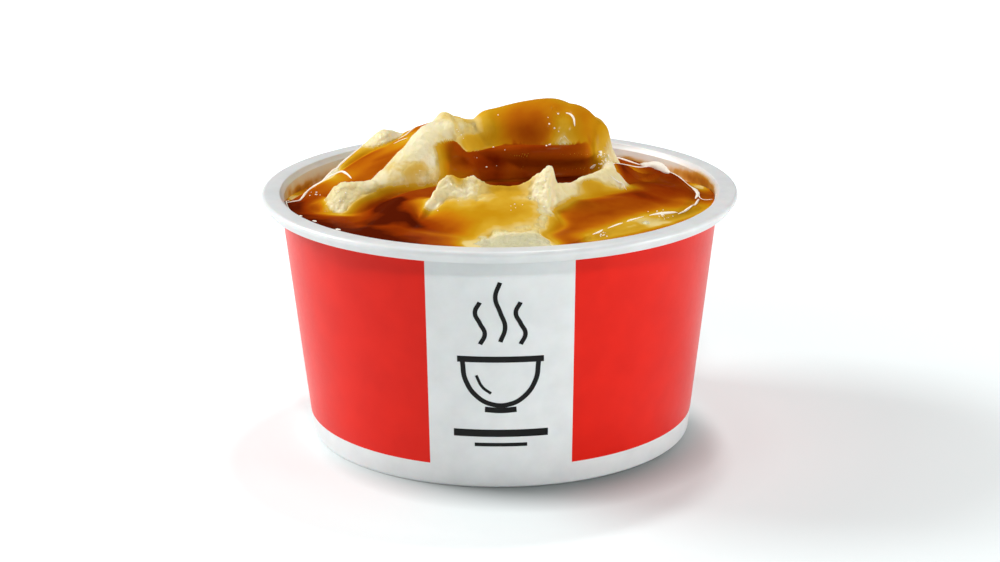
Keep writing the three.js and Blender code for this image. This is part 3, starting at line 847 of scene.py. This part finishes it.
def make_pictogram(name, facing):
    """A plain steaming bowl over two plain rules, in black ink."""
    steam = [(STEAM_WIDTH, wisp(*place)) for place in STEAM]
    drawing = join([stroke(*line) for line in BOWL_STROKES + steam + GLINT_AND_RULES], name)
    wrap_on_wall(drawing, facing)
    return drawing


front_print = make_pictogram("front_print", 0)
back_print = make_pictogram("back_print", 180)

# ------------------------------------------------------------------ folds and beads in the gravy's skin, coloured as painted highlights

# Folds in the gravy's skin, coloured near white as painted highlights along them: radius, height over width,
# path of x and y.
FOLDS = [
    (0.3, 1, [(-42.3, -6), (-39.7, -4.7), (-38, 0.8), (-36.2, 4), (-34.2, 6.8), (-31.7, 9.4), (-29.3, 11.6),
              (-27.8, 12.9)]),
    (0.36, 0.8, [(-37.6, 1.4), (-35.6, 4.3), (-33.6, 5.6), (-32, 5.2), (-30.6, 3), (-29.6, 0.6)]),
    (0.16, 1, [(-42.6, 2), (-42.6, -3), (-41.8, -9), (-40, -14)]),
    (0.2, 1, [(22.6, 3), (25.2, 7.2), (28.4, 10), (31.4, 12), (34.6, 11.6), (37.6, 8), (39.4, 3.2), (40, -5),
              (42.4, -4.4)]),
    (0.2, 1, [(22.5, 36), (25.3, 34.4), (28.4, 31.6), (30.6, 29.4)]),
    (1.7, 0.6, [(28.8, 11.7), (31, 12.6), (33, 12.3), (34.8, 11)]),
    (0.5, 0.4, [(38.4, 6), (39.2, 3), (39.6, -2), (38.8, -6)]),
    (0.3, 0.8, [(39.6, -5.6), (38.4, -10), (36.4, -15), (34.5, -18.1)]),
    (0.34, 0.8, [(34.4, -17.6), (31.8, -19.4), (28.9, -20.8)]),
    (0.2, 1, [(27.6, -21.8), (25.3, -24.2), (24.2, -25.4)]),
    (0.2, 1, [(23.4, -26.4), (21.8, -28.3), (20.4, -30)]),
    (0.24, 1, [(19.4, -31), (18.6, -32.6), (17.4, -34)]),
    (0.26, 0.8, [(13.4, 8.4), (14.3, 8), (14.9, 7.3), (15.1, 6.2)]),
    (0.16, 1, [(21.9, -6.8), (23.6, -7.6), (25, -7.8)]),
    (0.16, 1, [(-21.4, 9), (-20, 9.4), (-18.6, 9.2)]),
    (0.16, 1, [(-20.6, 11), (-19, 12), (-17.2, 12.9), (-15.2, 13.4)]),
    (0.42, 0.6, [(22.1, 7.6), (21.9, 6.7), (22, 5.6)]),
    (0.3, 0.6, [(22.1, 5), (22.3, 3.8), (22.7, 2.6)]),
    (0.42, 0.5, [(20.5, 6.6), (20.2, 6), (20.5, 5.5)]),
    (0.42, 0.6, [(18.4, 3.3), (18.8, 2.8), (19.3, 2.5)]),
    (0.4, 0.5, [(-36.1, -20), (-35.3, -20.9)]),
    (0.32, 0.5, [(-31.2, -27), (-30.2, -27.9)]),
    (0.28, 0.5, [(-39, -15.2), (-38.5, -16)]),
]
# Beads coloured near white as painted glints, in clusters: x, y, reach, how many.
PAINTED_GLINT_BEADS = [
    (21.2, 1, 1.4, 16), (20.6, 4.5, 1.2, 14), (-7.6, 5.6, 0.7, 4), (31.5, -19.6, 2.2, 22), (19, -33, 1.4, 10),
    (11, 6.2, 1.6, 9), (-1, 4.6, 4, 6), (3, -22, 2, 5), (9, -18.5, 2, 12), (-31, -12.4, 1.6, 5),
    (-36.4, -3, 1.4, 6), (-38.6, -17.6, 0.5, 2), (-11, -19, 2.5, 6), (21, -2.8, 0.8, 3),
]
BEAD_SPREAD = 0.6  # how far they scatter, as a share of the reach
BEAD_SIZE = (0.09, 0.13)  # the smallest radius, and what the largest has over it
FOLD_ENDS = 0.25  # share of a fold's radius at its ends
FOLD_MIDDLE = 0.8  # and towards its middle, before it is made uneven
FOLD_UNEVEN = (0.6, 2.5, 1)  # as noise: height, size, octaves
NEAR = 0.3  # points about this near count for the height of the food
NO_WEIGHT = 1e-30  # and the others count for this, so that the weights never add up to 0


def top_at(x, y):
    """Where the top of the food is, over a point of the ground."""
    share = np.exp(-((gx - x) ** 2 + (gy - y) ** 2) / NEAR ** 2)
    z = np.average(np.maximum(surface, heap), weights=share + NO_WEIGHT)
    lean = lean_at(x, y, z)
    x, y = fit_wall(x, y, z, WALL_GAP["folds"])
    return np.array((x, y - lean, z))


def make_fold(radius, flatness, path):
    """A thread on the food's top, thin at its ends, uneven along its length and flattened."""
    path = curve_through(path, 4)
    places = np.array([top_at(x, y) for x, y in path])
    along = np.linspace(0, 1, len(places))
    uneven = FOLD_MIDDLE + noise_at(*path.T, along, *FOLD_UNEVEN, radius)
    taper = FOLD_ENDS + (1 - FOLD_ENDS) * np.sin(math.pi * along) ** 0.5 * uneven
    fold = tube(places, radius, list(taper))
    flat = points(fold)
    for row in flat:
        middle = places[np.argmin(((places - row) ** 2).sum(axis=1)), 2]
        row[2] = middle + (row[2] - middle) * flatness
    set_points(fold, flat)
    return fold


def make_bead(place, radius):
    bpy.ops.mesh.primitive_ico_sphere_add(subdivisions=2, radius=radius * MM, location=Vector(place) * MM)
    bpy.ops.object.transform_apply(location=True, rotation=True, scale=True)
    return bpy.context.object


chance = np.random.default_rng(7)
folds_and_beads = [make_fold(*fold) for fold in FOLDS]
for cx, cy, reach, count in PAINTED_GLINT_BEADS:
    for _ in range(count):
        x, y = cx + reach * chance.normal() * BEAD_SPREAD, cy + reach * chance.normal() * BEAD_SPREAD
        radius = BEAD_SIZE[0] + BEAD_SIZE[1] * chance.random() ** 2
        folds_and_beads.append(make_bead(top_at(x, y), radius))
skin = join(folds_and_beads, "gravy_folds_and_painted_highlights")
# A depth of 0 gives the folds and beads the gravy's near-white first colour: painted highlights.
set_attribute(skin, "depth", np.zeros(len(skin.data.vertices)))

# ------------------------------------------------------------------ materials

# A pattern's scale is 1 over its size in metres. A map range reads a value between sockets 1 and 2 and gives
# one between sockets 3 and 4, or between 0 and 1 where those aren't set.


def moulded_polypropylene():
    """White injection-moulded polypropylene: a satin skin, faintly mottled, with dried gravy inside."""
    material, tree, shader = new_material("moulded_polypropylene")
    place = add(tree, "ShaderNodeTexCoord").outputs["Object"]
    mottle = add(tree, "ShaderNodeTexNoise", {"Scale": 1 / 0.004, "Detail": 3.0}, {"Vector": place})
    white = add(tree, "ShaderNodeValToRGB", links={"Fac": mottle.outputs["Fac"]})
    set_stops(white, [(0.3, "DADCDC"), (0.7, "E2E4E4")])
    stain = add(tree, "ShaderNodeAttribute", {"attribute_name": "stain"}).outputs["Fac"]
    cloud = add(tree, "ShaderNodeTexNoise", {"Scale": 1 / 0.004, "Detail": 2.0}, {"Vector": place})
    patchy = add(tree, "ShaderNodeMapRange", {1: 0.3, 2: 0.65, 3: 0.5, 4: 1.3},
                 {"Value": cloud.outputs["Fac"]})
    smear = add(tree, "ShaderNodeMath", {"operation": "MULTIPLY"}, {0: stain, 1: patchy.outputs[0]})
    dried = add(tree, "ShaderNodeValToRGB", links={"Fac": smear.outputs[0]})
    set_stops(dried, [(0.0, "E4D4B0"), (0.35, "CE9E50"), (0.7, "B4741A"), (1.0, "9C5808")])
    cover = add(tree, "ShaderNodeMapRange", {1: 0.02, 2: 0.5}, {"Value": smear.outputs[0]})
    mixed = add(tree, "ShaderNodeMix", {"data_type": "RGBA"},
                {0: cover.outputs[0], 6: white.outputs["Color"], 7: dried.outputs["Color"]})
    tree.links.new(mixed.outputs[2], shader.inputs["Base Color"])
    grain = add(tree, "ShaderNodeTexNoise", {"Scale": 1 / 0.0007, "Detail": 2.0}, {"Vector": place})
    gloss = add(tree, "ShaderNodeMapRange", {3: 0.28, 4: 0.42}, {"Value": grain.outputs["Fac"]})
    tree.links.new(gloss.outputs[0], shader.inputs["Roughness"])
    relief = add(tree, "ShaderNodeBump", {"Strength": 0.12, "Distance": 0.00005},
                 {"Height": grain.outputs["Fac"]})
    tree.links.new(relief.outputs["Normal"], shader.inputs["Normal"])
    shader.inputs["IOR"].default_value = 1.49
    shader.inputs["Subsurface Weight"].default_value = 0.15
    shader.inputs["Subsurface Scale"].default_value = 0.001
    return material


def label_ink(name, light, dark, gloss):
    """Ink printed on the in-mould label: an even film with a satin sheen over fine orange peel."""
    material, tree, shader = new_material(name)
    place = add(tree, "ShaderNodeTexCoord").outputs["Object"]
    cloud = add(tree, "ShaderNodeTexNoise", {"Scale": 1 / 0.006, "Detail": 2.0}, {"Vector": place})
    colour = add(tree, "ShaderNodeValToRGB", links={"Fac": cloud.outputs["Fac"]})
    set_stops(colour, [(0.3, dark), (0.7, light)])
    tree.links.new(colour.outputs["Color"], shader.inputs["Base Color"])
    peel = add(tree, "ShaderNodeTexNoise", {"Scale": 1 / 0.0009, "Detail": 1.0}, {"Vector": place})
    sheen = add(tree, "ShaderNodeMapRange", {3: gloss - 0.04, 4: gloss + 0.05},
                {"Value": peel.outputs["Fac"]})
    tree.links.new(sheen.outputs[0], shader.inputs["Roughness"])
    relief = add(tree, "ShaderNodeBump", {"Strength": 0.1, "Distance": 0.00003},
                 {"Height": peel.outputs["Fac"]})
    tree.links.new(relief.outputs["Normal"], shader.inputs["Normal"])
    shader.inputs["Specular IOR Level"].default_value = 0.15
    return material


def mashed_potato():
    """Boiled potato mashed with milk and butter: moist, cream-coloured and finely grained."""
    material, tree, shader = new_material("mashed_potato")
    place = add(tree, "ShaderNodeTexCoord").outputs["Object"]
    butter = add(tree, "ShaderNodeTexNoise", {"Scale": 1 / 0.009, "Detail": 3.0}, {"Vector": place})
    colour = add(tree, "ShaderNodeValToRGB", links={"Fac": butter.outputs["Fac"]})
    set_stops(colour, [(0.3, "E2D398"), (0.5, "ECE0B4"), (0.7, "F1E8C8")])
    soak = add(tree, "ShaderNodeAttribute", {"attribute_name": "soak"}).outputs["Fac"]
    share = add(tree, "ShaderNodeMapRange", {1: 0.0, 2: 0.5}, {"Value": soak})
    soaked = add(tree, "ShaderNodeValToRGB", links={"Fac": share.outputs[0]})
    set_stops(soaked, [(0.0, "EEE2B8"), (0.32, "E0C67A"), (0.8, "D4A42C")])
    cover = add(tree, "ShaderNodeMapRange", {1: 0.0, 2: 0.16}, {"Value": soak})
    mixed = add(tree, "ShaderNodeMix", {"data_type": "RGBA"},
                {0: cover.outputs[0], 6: colour.outputs["Color"], 7: soaked.outputs["Color"]})
    # The greying is painted shade over the potato's colour.
    painted_greying = add(tree, "ShaderNodeAttribute", {"attribute_name": "painted_greying"}).outputs["Fac"]
    potato_in_painted_shade = add(tree, "ShaderNodeMix", {"data_type": "RGBA", 7: linear("C8C29C")},
                 {0: painted_greying, 6: mixed.outputs[2]})
    tree.links.new(potato_in_painted_shade.outputs[2], shader.inputs["Base Color"])
    grain = add(tree, "ShaderNodeTexNoise", {"Scale": 1 / 0.0006, "Detail": 3.0, "Roughness": 0.6},
                {"Vector": place})
    wet = add(tree, "ShaderNodeMapRange", {3: 0.22, 4: 0.52}, {"Value": grain.outputs["Fac"]})
    tree.links.new(wet.outputs[0], shader.inputs["Roughness"])
    grains = add(tree, "ShaderNodeTexVoronoi",
                 {"feature": "SMOOTH_F1", "Scale": 1 / 0.0011, "Smoothness": 0.4}, {"Vector": place})
    rough = add(tree, "ShaderNodeMath", {"operation": "SUBTRACT"},
                {0: grain.outputs["Fac"], 1: grains.outputs["Distance"]})
    relief = add(tree, "ShaderNodeBump", {"Strength": 1.0, "Distance": 0.00024}, {"Height": rough.outputs[0]})
    tree.links.new(relief.outputs["Normal"], shader.inputs["Normal"])
    shader.inputs["Subsurface Weight"].default_value = 0.5
    shader.inputs["Subsurface Radius"].default_value = (1.0, 0.75, 0.35)
    shader.inputs["Subsurface Scale"].default_value = 0.0015
    shader.inputs["IOR"].default_value = 1.38
    return material


def brown_gravy():
    """Starch-thickened brown gravy: glassy, honey-yellow where it is thin and red-brown where it is deep."""
    material, tree, shader = new_material("brown_gravy")
    place = add(tree, "ShaderNodeTexCoord").outputs["Object"]
    depth = add(tree, "ShaderNodeAttribute", {"attribute_name": "depth"}).outputs["Fac"]
    swirl = add(tree, "ShaderNodeTexNoise", {"Scale": 1 / 0.004, "Detail": 2.0}, {"Vector": place})
    uneven = add(tree, "ShaderNodeMapRange", {3: 0.8, 4: 1.2}, {"Value": swirl.outputs["Fac"]})
    mixed = add(tree, "ShaderNodeMath", {"operation": "MULTIPLY"}, {0: depth, 1: uneven.outputs[0]})
    share = add(tree, "ShaderNodeMapRange", {1: 0.0, 2: 5.0}, {"Value": mixed.outputs[0]})
    colour = add(tree, "ShaderNodeValToRGB", links={"Fac": share.outputs[0]})
    # The first, near-white stop is reached only at depth 0, on the folds and beads, as painted highlight.
    set_stops(colour, [(0.0, "FFF8EA"), (0.008, "EEE2B8"), (0.032, "E0C67A"), (0.08, "D0A22C"),
                       (0.16, "C28C12"), (0.264, "BE760C"), (0.4, "B05C0A"), (0.6, "984206"),
                       (0.8, "8A3004"), (1.0, "541604")])
    tree.links.new(colour.outputs["Color"], shader.inputs["Base Color"])
    shader.inputs["Roughness"].default_value = 0.3
    shader.inputs["IOR"].default_value = 1.36
    shader.inputs["Specular IOR Level"].default_value = 0.0
    shader.inputs["Coat Weight"].default_value = 0.035
    shader.inputs["Coat Roughness"].default_value = 0.06
    return material


black_ink = label_ink("black_label_ink", "161616", "101010", 0.35)
gravy_finish = brown_gravy()
dress(pot, moulded_polypropylene(), label_ink("red_label_ink", "E01E0E", "D81A0C", 0.32))
for face in pot.data.polygons:
    face.material_index = 1 if is_printed(face.center / MM) else 0
dress(front_print, black_ink)
dress(back_print, black_ink)
dress(potato, mashed_potato())
dress(gravy, gravy_finish)
dress(skin, gravy_finish)

finish_piece(pot, "pot")
finish_piece(front_print)
finish_piece(back_print)
finish_piece(potato, "mashed_potato")
finish_piece(gravy, "gravy")
finish_piece(skin)

# ------------------------------------------------------------------ floor and surroundings

FLOOR_SIZE = 8
# The floor's colour is dark round the pot's foot as a painted contact shadow, and a little cool, which
# offsets the pink that the red pot throws onto it.
PAINTED_SHADE_CENTRE = (0.004, -0.01, 0)  # the contact shade lies a little to the right and in front
# Settings of map ranges that read a distance in metres.
PAINTED_CONTACT_SHADE = {1: 0.03, 2: 0.054}
# The floor glows as painted light: near the pot and more so to its left, further out, and less in front of
# it.
NEAR_GLOW = {1: 0.028, 2: 0.041}
GLOW_TO_LEFT = {1: 0.03, 2: -0.02, 3: 0.33, 4: 0.43}  # the near glow's strength, from right to left
FAR_GLOW = {1: 0.08, 2: 0.24, 4: 0.3}
DARK_IN_FRONT = {1: -0.16, 2: -0.08}


def make_floor():
    """A white paper sweep: matt, with a painted contact shadow in its colour, and glowing as painted light so
    that it goes to white away from the pot.
    """
    bpy.ops.mesh.primitive_plane_add(size=FLOOR_SIZE)
    floor = bpy.context.object
    floor.name = "floor"
    material, tree, shader = new_material("white_sweep_painted_shade_and_glow")
    shader.inputs["Roughness"].default_value = 0.7
    shader.inputs["Emission Color"].default_value = (1, 1, 1, 1)
    place = add(tree, "ShaderNodeTexCoord").outputs["Object"]
    away = add(tree, "ShaderNodeVectorMath", {"operation": "LENGTH"}, {0: place}).outputs["Value"]
    beside = add(tree, "ShaderNodeVectorMath", {"operation": "DISTANCE", 1: PAINTED_SHADE_CENTRE}, {0: place})
    shade = add(tree, "ShaderNodeMapRange", PAINTED_CONTACT_SHADE, {"Value": beside.outputs["Value"]})
    # Painted contact shadow: dark paper at the foot, its own colour further out.
    paper_and_painted_shade = add(tree, "ShaderNodeValToRGB", links={"Fac": shade.outputs[0]})
    set_stops(paper_and_painted_shade, [(0.0, "848A8A"), (0.2, "A0A6A6"), (0.5, "BCC6C6"), (1.0, "C6D0D0")])
    tree.links.new(paper_and_painted_shade.outputs["Color"], shader.inputs["Base Color"])
    axes = add(tree, "ShaderNodeSeparateXYZ", links={0: place})
    left = add(tree, "ShaderNodeMapRange", GLOW_TO_LEFT, {"Value": axes.outputs["X"]})
    glow = add(tree, "ShaderNodeMapRange", NEAR_GLOW, {"Value": beside.outputs["Value"], 4: left.outputs[0]})
    far_glow = add(tree, "ShaderNodeMapRange", FAR_GLOW, {"Value": away})
    both = add(tree, "ShaderNodeMath", {"operation": "ADD"}, {0: glow.outputs[0], 1: far_glow.outputs[0]})
    front = add(tree, "ShaderNodeMapRange", DARK_IN_FRONT, {"Value": axes.outputs["Y"]})
    strength = add(tree, "ShaderNodeMath", {"operation": "MULTIPLY"},
                   {0: both.outputs[0], 1: front.outputs[0]})
    tree.links.new(strength.outputs[0], shader.inputs["Emission Strength"])
    floor.data.materials.append(material)


def make_room():
    """Faint white light from all round."""
    world = bpy.data.worlds.new("studio")
    world.use_nodes = True
    background = world.node_tree.nodes["Background"]
    background.inputs["Color"].default_value = (1, 1, 1, 1)
    background.inputs["Strength"].default_value = ROOM_LIGHT
    scene.world = world


make_floor()
make_room()
scene.view_settings.view_transform = "Standard"
